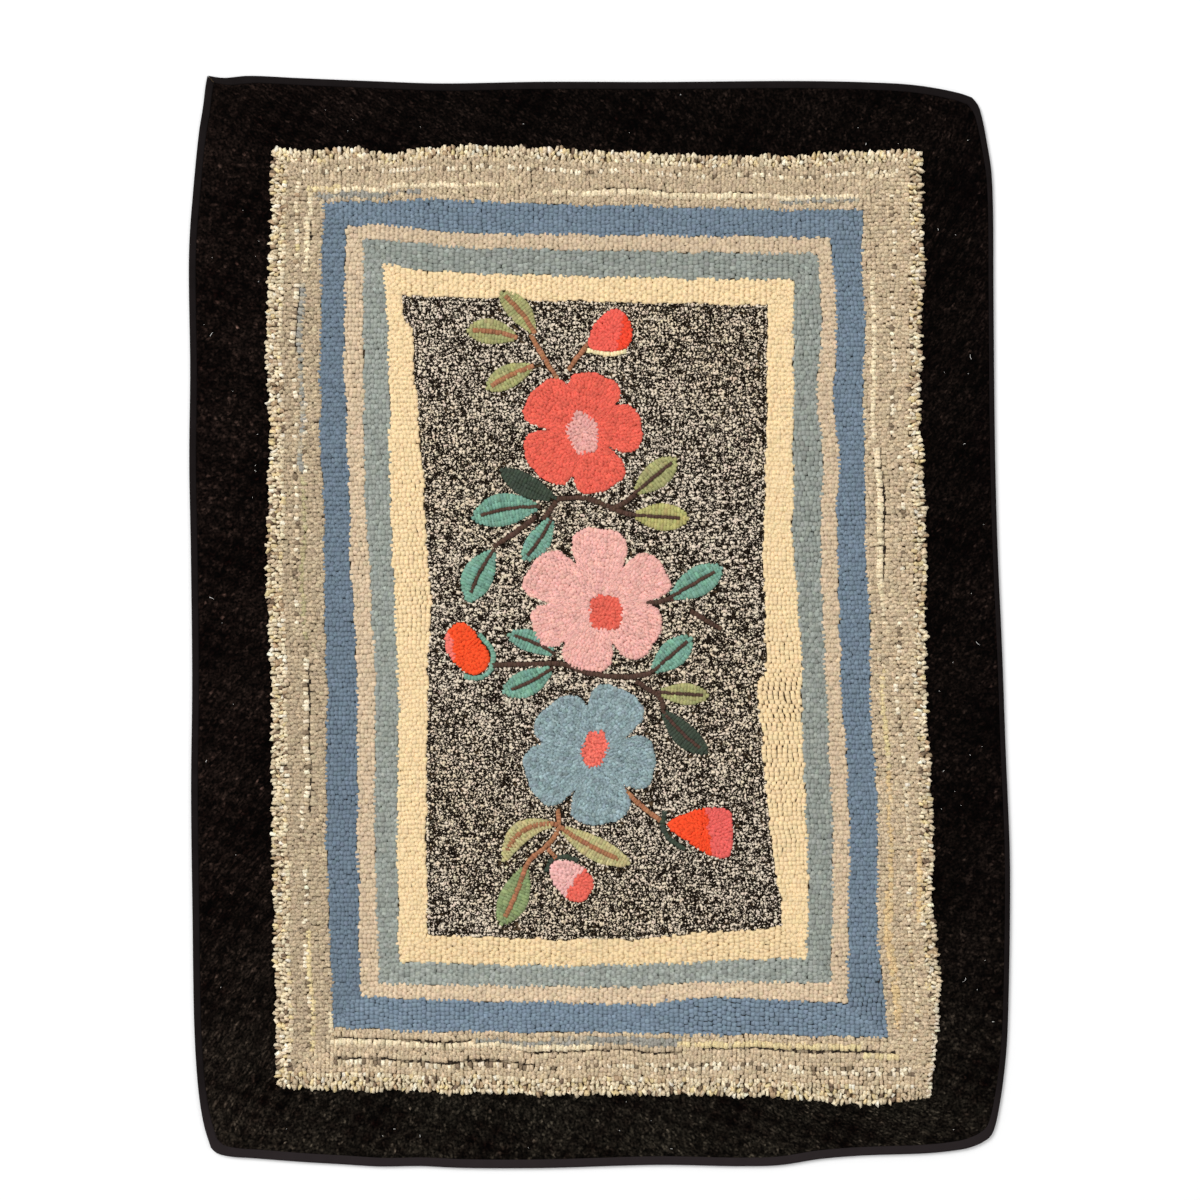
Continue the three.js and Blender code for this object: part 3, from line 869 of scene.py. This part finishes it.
# Stems: single rows of rust or brown yarn between the flowers, leaves and buds, and the short
# rows of green or cream that edge the buds.
STEM_PITCH = 3.4
# yarn and stations
STEMS = [
    ("rust", [(-76, 318), (-63, 296), (-48, 272)]),
    ("rust", [(-12, 310), (-24, 295), (-34, 281)]),
    ("brown", [(-46, 137), (-16, 138), (13, 127)]),
    ("brown", [(13, 126), (27, 132), (41, 143)]),
    ("brown", [(13, 127), (26, 122), (38, 119)]),
    ("brown", [(-47, 136), (-56, 123), (-61, 115)]),
    ("brown", [(-72, 116), (-94, 99), (-116, 85)]),
    ("brown", [(53, 21), (67, 23), (84, 27)]),
    ("brown", [(104, 11), (118, 2), (134, -7)]),
    ("brown", [(-118, -48), (-77, -47), (-41, -47), (-11, -57), (34, -61), (56, -57)]),
    ("brown", [(42, -67), (56, -76), (67, -83), (73, -106)]),
    ("rust", [(28, -187), (48, -206), (67, -220)]),
    ("rust", [(-46, -211), (-46, -231), (-61, -251), (-77, -264), (-83, -275)]),
    ("rust", [(-56, -254), (-52, -258), (-49, -262)]),
    ("teal", [(-133, -15), (-119, -33), (-121, -53), (-133, -62), (-148, -61)]),
    ("dark", [(73, -212), (70, -226), (79, -242), (94, -252)]),
    ("dark", [(-58, -276), (-54, -265), (-40, -261), (-26, -265)]),
    ("cream", [(-12, 302), (8, 298), (28, 301)]),
]
stem_lines = []
stem_at, stem_turn, stem_yarn = [], [], []
for colour, stations in STEMS:
    span = np.linalg.norm(np.diff(np.array(stations, float), axis=0), axis=1).sum()
    line = smooth_line(stations, int(span / STEM_PITCH))
    way = np.gradient(line, axis=0)
    stem_lines.append(line)
    stem_at.append(line)
    stem_turn.append(np.arctan2(way[:, 1], way[:, 0]) + np.pi / 2)
    shade = {"cream": (240, 222, 176)}.get(colour) or LEAF_YARNS[colour]
    stem_yarn.append(dyed(shade, len(line), 0.1))
stem_at = np.vstack(stem_at)
clear = ~np.any([inside(stem_at, line) for line in outlines], axis=0)
count = clear.sum()
hook("stems", (stem_at + rng.normal(0, 0.3, stem_at.shape))[clear],
     np.concatenate(stem_turn)[clear], rng.normal(1, 0.1, (count, 2)) * (2.6, 3.0),
     PILE_TOP - 0.1 + rng.normal(0, 0.25, count), np.vstack(stem_yarn)[clear], petal_finish,
     depth=0.2)


# Field: loops of a marled dark and off-white yarn in wandering rows. A row echoes each motif,
# and two rows follow the cream band.
def marled(name):
    """Two-ply yarn of a dark and an off-white ply. How much of the light one shows comes from the
    'tone' attribute: the loop's own tone, plus painted light on its back and painted shade on its
    flanks."""
    finish = Finish(name, {"Roughness": 0.95, "Specular IOR Level": 0.15})
    place = finish.place()
    fuzz = finish.noise(place, 620, 1.0) * 2.4 - 1.2
    light = (finish.attribute("tone", "Fac") + fuzz).between(0.7, 0.86)
    dark_yarn = (*linear(28, 18, 9), 1)
    light_yarn = (*linear(238, 222, 200), 1)
    plies = finish.blend(light, dark_yarn, light_yarn)
    yarn = finish.blend(1.0, finish.attribute("yarn", "Color"), plies, "MULTIPLY")
    finish.fill(finish.shader, {"Base Color": yarn})
    finish.bump(finish.noise(place, 1000, 2.0), 0.5, 0.5 * MM)
    return finish


def field_depth(side, at, inset):
    """The field's edge along a side, moved inwards."""
    sign = {"top": -1, "right": -1, "bottom": 1, "left": 1}[side]
    return band_depth(5, side, at) + sign * inset


# box round the field, and the distance of the loops along a row and of the rows
FIELD_LOW, FIELD_HIGH = np.array([-225, -357]), np.array([207, 367])
STEP, ROW = 4.1, 3.7
row_y, step_x = np.meshgrid(
    np.arange(FIELD_LOW[1], FIELD_HIGH[1], ROW), np.arange(FIELD_LOW[0], FIELD_HIGH[0], STEP),
    indexing="ij",
)
lattice = np.column_stack([step_x.ravel(), row_y.ravel()])
row_shift = rng.uniform(-2, 2, len(row_y))
lattice[:, 0] += np.repeat(row_shift, step_x.shape[1])
lattice += 2.2 * drift(lattice, 40) + rng.normal(0, 0.55, lattice.shape)


def in_field(points, inset):
    """Whether each point lies in the field's edge, moved inwards."""
    x, y = points.T
    return (
        (x > field_depth("left", y, inset)) & (x < field_depth("right", y, inset))
        & (y > field_depth("bottom", x, inset)) & (y < field_depth("top", x, inset))
    )


EDGE_INSETS = (2.3, 6.9)
EDGE_PITCH = 4.5
edge_rows = []
for inset in EDGE_INSETS:
    for side in SIDES:
        along = axis_of(side)
        at = np.arange(FIELD_LOW[along], FIELD_HIGH[along], EDGE_PITCH) + rng.uniform(0, 4)
        place = side_points(side, at, field_depth(side, at, inset))
        edge_rows.append(place[in_field(place, inset - 1.5)])
edge_rows = np.vstack(edge_rows) + rng.normal(0, 0.35, (sum(map(len, edge_rows)), 2))

ECHO_PITCH = 4.6
ECHO_GAP, STEM_GAP = 2.3, 4.7
STEM_HALF = 2.2


def beside(line, gap, closed=True):
    """Points a pitch apart along a line and a gap to its right. The line's direction is taken
    from its points a short way behind and ahead."""
    loop = np.vstack([line, line[:1]]) if closed else line
    length = lengths(loop)
    at = np.arange(rng.uniform(0, ECHO_PITCH), length[-1], ECHO_PITCH)
    look = 1.5
    way = places_along(loop, length, at + look) - places_along(loop, length, at - look)
    way = way / np.maximum(np.linalg.norm(way, axis=1), 1e-9)[:, None]
    return places_along(loop, length, at) + gap * np.column_stack([way[:, 1], -way[:, 0]])


def anticlockwise(line):
    """The closed line in the order in which the area that it goes round counts as positive."""
    after = np.roll(line, -1, axis=0)
    area = (line[:, 0] * after[:, 1] - line[:, 1] * after[:, 0]).sum()
    return line if area > 0 else line[::-1]


echoes = [beside(anticlockwise(line), ECHO_GAP) for line in outlines]
for line in stem_lines:
    echoes += [beside(line, gap, closed=False) for gap in (STEM_GAP, -STEM_GAP)]
echoes = np.vstack(echoes)
echoes = echoes[in_field(echoes, 2.0)]
# least distances from a motif: of its echo, of the plain rows, of the edge rows and of the spares
ECHO_ROOM, PLAIN_ROOM, EDGE_ROOM, SPARE_ROOM = 1.9, 5.0, 2.2, 0.8
LOOP_ROOM = 2.8


def clearance(points):
    """Distance from the nearest motif, 0 inside one and less a stem's half width beside one. It
    is measured in the box round each motif and a reach beyond, and is large outside them all."""
    reach = 12
    gap = np.full(len(points), 99.0)
    for line in outlines + stem_lines:
        near = np.all((points > line.min(0) - reach) & (points < line.max(0) + reach), axis=1)
        if any(line is stem for stem in stem_lines):
            away = distance(points[near], line, closed=False) - STEM_HALF
        else:
            away = np.where(inside(points[near], line), 0, distance(points[near], line))
        gap[near] = np.minimum(gap[near], away)
    return gap


echoes = echoes[clearance(echoes) > ECHO_ROOM]
# Of echo loops that nearly meet, where two motifs are close, only the first stays.
apart = np.linalg.norm(echoes[:, None] - echoes[None], axis=2)
echoes = echoes[~np.tril(apart < LOOP_ROOM, -1).any(1)]
lattice = lattice[in_field(lattice, 9.0)]
lattice = lattice[clearance(lattice) > PLAIN_ROOM]
field_at = np.vstack([edge_rows[clearance(edge_rows) > EDGE_ROOM], echoes, lattice])

# Single loops fill what stays bare between the rows and the motifs: a map of 1 mm squares, with
# a margin round the field, marks what the loops cover.
MAP_SIZE = np.array([460, 760])
MAP_MARGIN = 4
SPARE_PITCH = 3.3
covered = np.zeros(MAP_SIZE, bool)
reach = np.arange(-2, 3)
for at in (field_at, leaf_at, stem_at, bud_at):
    spot = np.rint(at - FIELD_LOW).astype(int)[:, None, None] + MAP_MARGIN
    spot = np.clip(spot + np.stack(np.meshgrid(reach, reach), 2), 0, MAP_SIZE - 1)
    covered[spot[..., 0], spot[..., 1]] = True
x, y = np.meshgrid(*[np.arange(FIELD_LOW[k], FIELD_HIGH[k], SPARE_PITCH) for k in (0, 1)])
spare = np.column_stack([x.ravel(), y.ravel()])
spot = np.rint(spare - FIELD_LOW).astype(int) + MAP_MARGIN
spare = spare[~covered[spot[:, 0], spot[:, 1]] & in_field(spare, 1.5)]
field_at = np.vstack([field_at, spare[clearance(spare) > SPARE_ROOM]])
count = len(field_at)

# In the middle of the rug the field's yarn is coarser and its rows straighter.
coarse = np.exp(-(((field_at[:, 1] - 40) / 130) ** 4))
field_turn = np.where(rng.uniform(size=count) < 0.45 * coarse, rng.normal(0, 0.3, count),
                      rng.uniform(0, np.pi, count))
field_half = np.column_stack([rng.normal(2.1, 0.25, count), rng.normal(2.3, 0.22, count)])
field_half += 0.15 * coarse[:, None]
field_crest = PILE_TOP - 0.6 + rng.normal(0, 0.45, count)
# how much of the light ply a loop shows, and its tint, a little browner in some places
tone = rng.normal(-0.07, 0.16 + 0.05 * coarse, count)
tint = np.exp(rng.normal(0, 0.06, (count, 1)) + rng.normal(0, 0.02, (count, 3)))
brown = (0.5 + 0.5 * np.sin(field_at @ np.array([0.013, 0.017]) + 1.0))[:, None]
tint = tint * (1 - brown * np.array([0.0, 0.03, 0.09]))
marl = marled("marled_yarn")
upper = field_at[:, 1] > 20
for name, part in (("field_upper", upper), ("field_lower", ~upper)):
    piece = hook(name, field_at[part], field_turn[part], field_half[part], field_crest[part],
                 np.clip(tint[part], 0, 1), marl, ragged=0.22)
    layer = piece.data.attributes.new("tone", "FLOAT", "POINT")
    grain = rng.normal(0, 0.1, (part.sum(), len(BEAD)))
    # painted light and shade: by 0.9 times its height, a loop's back gets more of the light ply
    # and its flanks more of the dark one
    tone_with_painted_light = tone[part, None] + 0.9 * BEAD[None, :, 2] + grain
    layer.data.foreach_set("value", tone_with_painted_light.astype(np.float32).ravel())

# Border: dense low loops of black wool, clipped to a soft velvety pile. It is one sheet of small
# mounds, two mesh steps to a loop, with its rows along the edge.
# The cloth was cut and bound by hand, so its outline wanders and its corners differ, with a
# pointed ear at the upper left.
TAPE_FRONT = {"top": 8.5, "right": 6.0, "bottom": 10.0, "left": 8.0}
RUG_EDGE = {
    "top": [(-436.5, 608.8), (-419, 606.4), (-392, 608.6), (-333, 606.1), (-244, 602.4),
            (-178, 600.2), (-66, 602), (67, 601.8), (223, 602.9), (303, 601.3), (347, 598.8),
            (380, 594), (404, 588.5), (415, 584.5)],
    "right": [(415, 584.5), (421.7, 576), (427, 558), (432, 531.5), (436.2, 505), (438.2, 469),
              (439, 358), (440.7, 191), (443.6, 80), (448.5, -31), (452.5, -142), (457, -253.5),
              (457.4, -309), (455.7, -420), (453.4, -476), (446.8, -531.5), (439.6, -565),
              (435, -573.5), (425.3, -580.2)],
    "bottom": [(425.3, -580.2), (412, -585.4), (392, -588.9), (363, -591.6), (290, -594.2),
               (245, -598), (201, -604.7), (156, -605.9), (67, -604.4), (-66, -608),
               (-155, -607.7), (-200, -605.7), (-244, -606.2), (-289, -603.6), (-333, -601),
               (-385, -597), (-412, -595), (-427, -591), (-433, -585)],
    "left": [(-433, -585), (-440, -562.7), (-445, -536), (-448, -509), (-451.3, -454),
             (-453.5, -320), (-455, -187), (-453.8, -67), (-455.3, 80), (-457, 180), (-456, 280),
             (-457.2, 414), (-452.7, 480), (-446, 547), (-441.7, 574), (-438.4, 600.5),
             (-436.5, 608.8)],
}


def closed_line(sides, steps):
    """The four sides joined into one closed line, clockwise from the upper left corner."""
    return np.vstack([smooth_line(sides[side], steps[side])[:-1] for side in SIDES])


def edge_drawn_in(edge, inset):
    """The edge moved inwards by an inset for each side: x and y shrink in proportion to their
    place between the left and right, and the lower and upper, ends of the edge."""
    low, high = edge.min(0), edge.max(0)
    share = (edge - low) / (high - low)
    left_low = np.array([inset["left"], inset["bottom"]])
    right_high = np.array([inset["right"], inset["top"]])
    return edge + left_low * (1 - share) - right_high * share


def front_inset(share, extra):
    """Inset of each side: a share of the tape's front leg there, plus an extra."""
    return {side: share * TAPE_FRONT[side] + extra for side in SIDES}


def rug_edge(steps):
    """The rug's edge, with its box centred on the origin."""
    edge = closed_line(RUG_EDGE, steps)
    return edge - (edge.min(0) + edge.max(0)) / 2


def tube_faces(rows, width, closed):
    """Faces of a grid whose last row joins the first one, and whose last column also joins the
    first one where it is closed."""
    r, c = np.meshgrid(np.arange(rows), np.arange(width if closed else width - 1), indexing="ij")
    r_next, c_next = (r + 1) % rows, (c + 1) % width
    corners = [(r, c), (r, c_next), (r_next, c_next), (r_next, c)]
    return np.stack([row * width + column for row, column in corners], 2).reshape(-1, 4)


BORDER_TOP = 6.4
MOUND_LOW = BORDER_TOP - 0.9
border_steps = {"top": 372, "right": 480, "bottom": 372, "left": 480}
border_rows = 34
outer_line = edge_drawn_in(rug_edge(border_steps), front_inset(1.0, 0.2))
inner_line = closed_line(BAND_EDGES[0], border_steps)
row_share = np.r_[0, np.linspace(0, 1, border_rows) ** 0.97]
border_xy = outer_line[None] + (inner_line - outer_line)[None] * row_share[:, None, None]
border_xy[0] = edge_drawn_in(rug_edge(border_steps), front_inset(1.0, -1.5))
ring = border_xy.shape[1]
mound_row = np.arange(border_rows + 1) % 2
mound = mound_row[:, None] * (np.arange(ring) % 2)[None]
border_z = MOUND_LOW + 0.8 * mound + rng.normal(0, 0.28, mound.shape)
# It rises from under the tape at its outer edge and goes down to the cloth under the wide band.
border_z[0] = CLOTH_TOP + 0.1
border_z[1] = MOUND_LOW - 1
border_z[2] = MOUND_LOW
border_z[-1] = CLOTH_TOP + 1
border_xy[2:-1] += rng.normal(0, 0.6, border_xy[2:-1].shape)
flat_xy = border_xy.reshape(-1, 2)
border_points = np.column_stack([flat_xy, border_z.ravel()])
patchy = 0.5 + 0.25 * np.sin(flat_xy @ (0.031, 0.023)) * np.sin(flat_xy @ (-0.017, 0.041) + 1.3)
patchy += 0.25 * np.sin(flat_xy @ (0.19, 0.07)) * np.sin(flat_xy @ (-0.08, 0.23))
border_yarn = np.exp(rng.normal(0, 0.85, (len(flat_xy), 1))) * (
    linear(1, 0, 0) + patchy[:, None] * (linear(14, 9, 7) - linear(1, 0, 0))
)
# Towards the left, and more towards the lower end, the black is paler.
pale = 0.6 * np.clip(-flat_xy[:, :1] / 420, 0, 1) ** 3 * np.array([1.0, 0.9, 0.9])
pale = pale + np.clip(-flat_xy[:, 1:] / 540, 0, 1) ** 4 * np.array([1.6, 2.5, 2.2])
border_yarn = border_yarn * (1 + pale)
border_finish = wool("black_wool", 1.0, 380, 0.03)
border_faces = tube_faces(border_rows + 1, ring, True)
border = piece_of("border", border_points, border_faces, border_finish,
                  np.clip(border_yarn, 0, 1))
pile_pieces.append((border, flat_xy, border_yarn))

# Lint: short pale hairs and specks of wool caught in the black pile. Each is a bent thread of
# three sides that tapers, laid on the pile at a random place.
hair_count = 60
HAIR_RINGS, HAIR_SIDES = 5, 3
hair_edge = rng.integers(0, ring, hair_count)
hair_root = border_xy[rng.integers(4, border_rows - 3, hair_count), hair_edge]
hair_turn = rng.uniform(0, 2 * np.pi, hair_count)
hair_length = rng.choice([0.8, 1.4, 2.6, 5.5], hair_count, p=[0.45, 0.33, 0.18, 0.04])
hair_bend = rng.normal(0, 0.5, hair_count)
t = np.linspace(0, 1, HAIR_RINGS)[None, :]
bearing = hair_turn[:, None] + hair_bend[:, None] * t
hair_x = hair_root[:, :1] + hair_length[:, None] * t * np.cos(bearing)
hair_y = hair_root[:, 1:] + hair_length[:, None] * t * np.sin(bearing)
hair_z = BORDER_TOP + 0.25 + 0.25 * np.sin(np.pi * t) + 0 * hair_x
round_turn = np.arange(HAIR_SIDES) * 2 * np.pi / HAIR_SIDES
thick = 0.36 * (1 - 0.5 * t[..., None])
hair = np.stack([
    hair_x[..., None] - thick * np.cos(round_turn) * np.sin(bearing)[..., None],
    hair_y[..., None] + thick * np.cos(round_turn) * np.cos(bearing)[..., None],
    hair_z[..., None] + thick * np.sin(round_turn),
], 3).reshape(-1, 3)
k, i, j = np.meshgrid(
    np.arange(hair_count), np.arange(HAIR_RINGS - 1), np.arange(HAIR_SIDES), indexing="ij"
)
base, j_next = (k * HAIR_RINGS + i) * HAIR_SIDES, (j + 1) % HAIR_SIDES
hair_sides = np.stack(
    [base + j, base + j_next, base + HAIR_SIDES + j_next, base + HAIR_SIDES + j], 3
).reshape(-1, 4)
first = HAIR_RINGS * HAIR_SIDES * np.arange(hair_count)[:, None]
last = first + (HAIR_RINGS - 1) * HAIR_SIDES
hair_ends = np.vstack([first + [0, 2, 1], last + [0, 1, 2]])
lint_finish = Finish("lint", {"Base Color": (0.78, 0.76, 0.72, 1), "Roughness": 0.8})
lint = piece_of("lint", hair, [hair_sides, hair_ends], lint_finish)

# Foundation: one woven cloth that carries all the loops, a flat sheet under the pile. Its
# underside is covered with the backs of the loops, so it shows the same design.
def even(width):
    """The same inset for every side."""
    return dict.fromkeys(SIDES, width)


def edge_patch(inset, columns, rows):
    """Grid of points over the drawn-in edge: the straight blend of its left and right sides plus
    that of its lower and upper sides, less that of its corners."""
    whole = closed_line(RUG_EDGE, border_steps)
    centre = (whole.min(0) + whole.max(0)) / 2
    count = {"top": columns, "right": rows, "bottom": columns, "left": rows}
    sides = [smooth_line(RUG_EDGE[side], count[side]) for side in SIDES]
    joined = edge_drawn_in(np.vstack([*sides, whole]) - centre, inset)
    top, right, bottom, left = np.split(joined[: sum(map(len, sides))],
                                        np.cumsum([len(side) for side in sides])[:-1])
    bottom, right = bottom[::-1], right[::-1]
    u = np.linspace(0, 1, columns + 1)[None, :, None]
    v = np.linspace(0, 1, rows + 1)[:, None, None]
    grid = (1 - v) * bottom[None] + v * top[None] + (1 - u) * left[:, None] + u * right[:, None]
    grid -= (1 - u) * (1 - v) * bottom[0] + u * (1 - v) * bottom[-1]
    grid -= (1 - u) * v * top[0] + u * v * top[-1]
    return grid


def sheet_faces(columns, rows):
    """Faces of a closed sheet: an upper grid, a lower grid and the strip between their rims."""
    wide = columns + 1
    total = wide * (rows + 1)
    r, c = np.meshgrid(np.arange(rows), np.arange(columns), indexing="ij")
    corner = (r * wide + c).ravel()
    top = np.column_stack([corner, corner + 1, corner + wide + 1, corner + wide])
    rim = np.r_[np.arange(columns), columns + wide * np.arange(rows),
                total - 1 - np.arange(columns), wide * np.arange(rows, 0, -1)]
    after = np.roll(rim, -1)
    side = np.column_stack([rim + total, after + total, after, rim])
    return np.vstack([top, top[:, ::-1] + total, side])


cloth_columns, cloth_rows = 72, 96
# The tape's back leg, 26 wide, lies under the cloth's rim, which is higher there.
BACK_LEG = 26
within_leg = BACK_LEG + 1
cloth_grid = edge_patch(even(1.6), cloth_columns, cloth_rows).reshape(-1, 2)
over_leg = np.abs(cloth_grid / (cloth_grid.max(0) - within_leg)).max(1) > 1
cloth_low = np.where(over_leg, 1.35, 0.45)
cloth_points = np.vstack([
    np.column_stack([cloth_grid, np.full(len(cloth_grid), CLOTH_TOP + 0.3)]),
    np.column_stack([cloth_grid, cloth_low]),
])
cloth_finish = Finish("woven_foundation", {"Roughness": 0.95})
cloth_place = cloth_finish.place()
threads = cloth_finish.noise(cloth_place, 700, 2.0)
jute = cloth_finish.blend(threads, (*linear(88, 68, 46), 1), (*linear(128, 104, 74), 1))
cloth_finish.fill(cloth_finish.shader, {"Base Color": jute})
cloth_finish.bump(threads, 0.4, 0.4 * MM)
cloth = piece_of("foundation_cloth", cloth_points, sheet_faces(cloth_columns, cloth_rows),
                 cloth_finish)
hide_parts("rug_pile")

# Back stitches: the flat backs of the loops under the foundation, a thin layer with the
# design's colours, read from the loops above and darkened by painted shade.
back_columns, back_rows = 96, 128
back_grid = edge_patch(even(within_leg), back_columns, back_rows)
CELL = 5.2
MIDDLE = (100, 130)
cells = np.zeros((2 * MIDDLE[1], 2 * MIDDLE[0], 4))
for _, at, yarn in pile_pieces:
    spot = np.floor(at / CELL).astype(int) + MIDDLE
    cells[spot[:, 1], spot[:, 0]] = np.c_[yarn, np.ones(len(yarn))]
# Cells without a loop take the mean colour of those beside them, three times over.
for _ in range(3):
    near = sum(np.roll(cells, step, axis) for step in (-1, 1) for axis in (0, 1))
    fill = near / np.maximum(near[..., 3:], 1)
    cells = np.where(cells[..., 3:] > 0, cells, fill)
flat_back = back_grid.reshape(-1, 2)
spot = np.floor(flat_back / CELL).astype(int) + MIDDLE
# painted shade: the backs are 0.85 times as light as the loops above
back_yarn = cells[spot[:, 1], spot[:, 0], :3] * 0.85
ridge = (np.arange(back_rows + 1) % 2)[:, None] * np.ones(back_columns + 1)[None]
RIDGE_HEIGHT = 0.32
uneven = rng.uniform(0, 0.1, len(flat_back)) * (ridge.ravel() < 1)
back_low = (RIDGE_HEIGHT - RIDGE_HEIGHT * ridge).ravel() + uneven
back_points = np.vstack([
    np.column_stack([flat_back, np.full(len(flat_back), 0.9)]),
    np.column_stack([flat_back, back_low]),
])
back = piece_of("back_stitches", back_points, sheet_faces(back_columns, back_rows), wool_finish,
                np.vstack([back_yarn, back_yarn]))

[piece for piece, _, _ in pile_pieces] + [lint, back]

# Binding tape: dark twill tape folded round the edge and sewn down, a narrow leg in front and a
# wider one behind. It is one length whose ends meet at the upper left corner.
TAPE_THICK = 1.1
TYPICAL_FRONT = 8
END_GAP = 0.2
tape_steps = {"top": 180, "right": 230, "bottom": 180, "left": 230}
# share of the front leg's width, distance from the edge and height of the tape's middle line
TAPE_FOLD = np.array([
    (1.0, 0.0, 4.15), (0.8, 0.2, 4.3), (0.5, 0.6, 4.34), (0.2, 1.2, 4.3), (0.0, 1.5, 4.05),
    (0.0, 0.85, 3.6), (0.0, 0.6, 3.0), (0.0, 0.58, 2.2), (0.0, 0.68, 1.4), (0.0, 1.1, 0.85),
    (0.0, 1.9, 0.58), (0.0, 6.0, 0.55), (0.0, 16.0, 0.55), (0.0, BACK_LEG, 0.55),
])


def tape_points():
    """Section swept round the edge: the fold's middle line, moved half the tape's thickness to
    each side, at every place along the edge, drawn in by its distance from it. The front leg
    puckers by a small product of two sine waves."""
    edge = rug_edge(tape_steps)
    edge = np.vstack([edge, edge[:1]])
    fold = np.column_stack([TAPE_FOLD[:, 0] * TYPICAL_FRONT + TAPE_FOLD[:, 1], TAPE_FOLD[:, 2]])
    way = np.gradient(fold, axis=0)
    way /= np.linalg.norm(way, axis=1)[:, None]
    normal = np.column_stack([way[:, 1], -way[:, 0]]) * TAPE_THICK / 2
    rings = []
    stretch = np.arange(len(edge))
    pucker = 0.18 * np.sin(stretch / 3.1) * np.sin(stretch / 17.0)
    for side, order in ((1, slice(None)), (-1, slice(None, None, -1))):
        for (front, inset, z), (dx, dz) in zip(TAPE_FOLD[order], side * normal[order]):
            line = edge_drawn_in(edge, front_inset(front, inset + dx))
            rings.append(np.column_stack([line, z + dz + front * pucker]))
    return np.stack(rings)


tape_grid = tape_points()
tape_grid[:, 0, :2] += END_GAP
tape_grid[:, -1, :2] -= END_GAP
rings, around = tape_grid.shape[:2]
half_rings = rings // 2
pair = np.arange(half_rings - 1)
cap = np.column_stack([pair, pair + 1, rings - 2 - pair, rings - 1 - pair])
tape_ends = np.vstack([cap * around, cap[:, ::-1] * around + around - 1])
tape_finish = Finish("twill_tape", {"Roughness": 0.9, "Specular IOR Level": 0.06})
tape_place = tape_finish.place()
# The tape is dusty, and paler towards the rug's lower end.
twill = tape_finish.noise(tape_place, 1200, 2.0)
dust = tape_finish.noise(tape_place, 60, 3.0)
lightness = tape_finish.node("ShaderNodeSeparateXYZ", {}, {0: tape_place}, 1).between(-0.5, -0.6)
tape_colour = tape_finish.blend(
    dust * 0.26 + twill * 0.26 + lightness * 0.6, (*linear(9, 6, 5), 1), (*linear(44, 38, 39), 1)
)
tape_finish.fill(tape_finish.shader, {"Base Color": tape_colour})
tape_finish.bump(twill, 0.5, 0.3 * MM)
tape_faces = [tube_faces(rings, around, False), tape_ends]
tape = piece_of("twill_binding", tape_grid.reshape(-1, 3), tape_faces, tape_finish)
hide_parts("binding_tape")
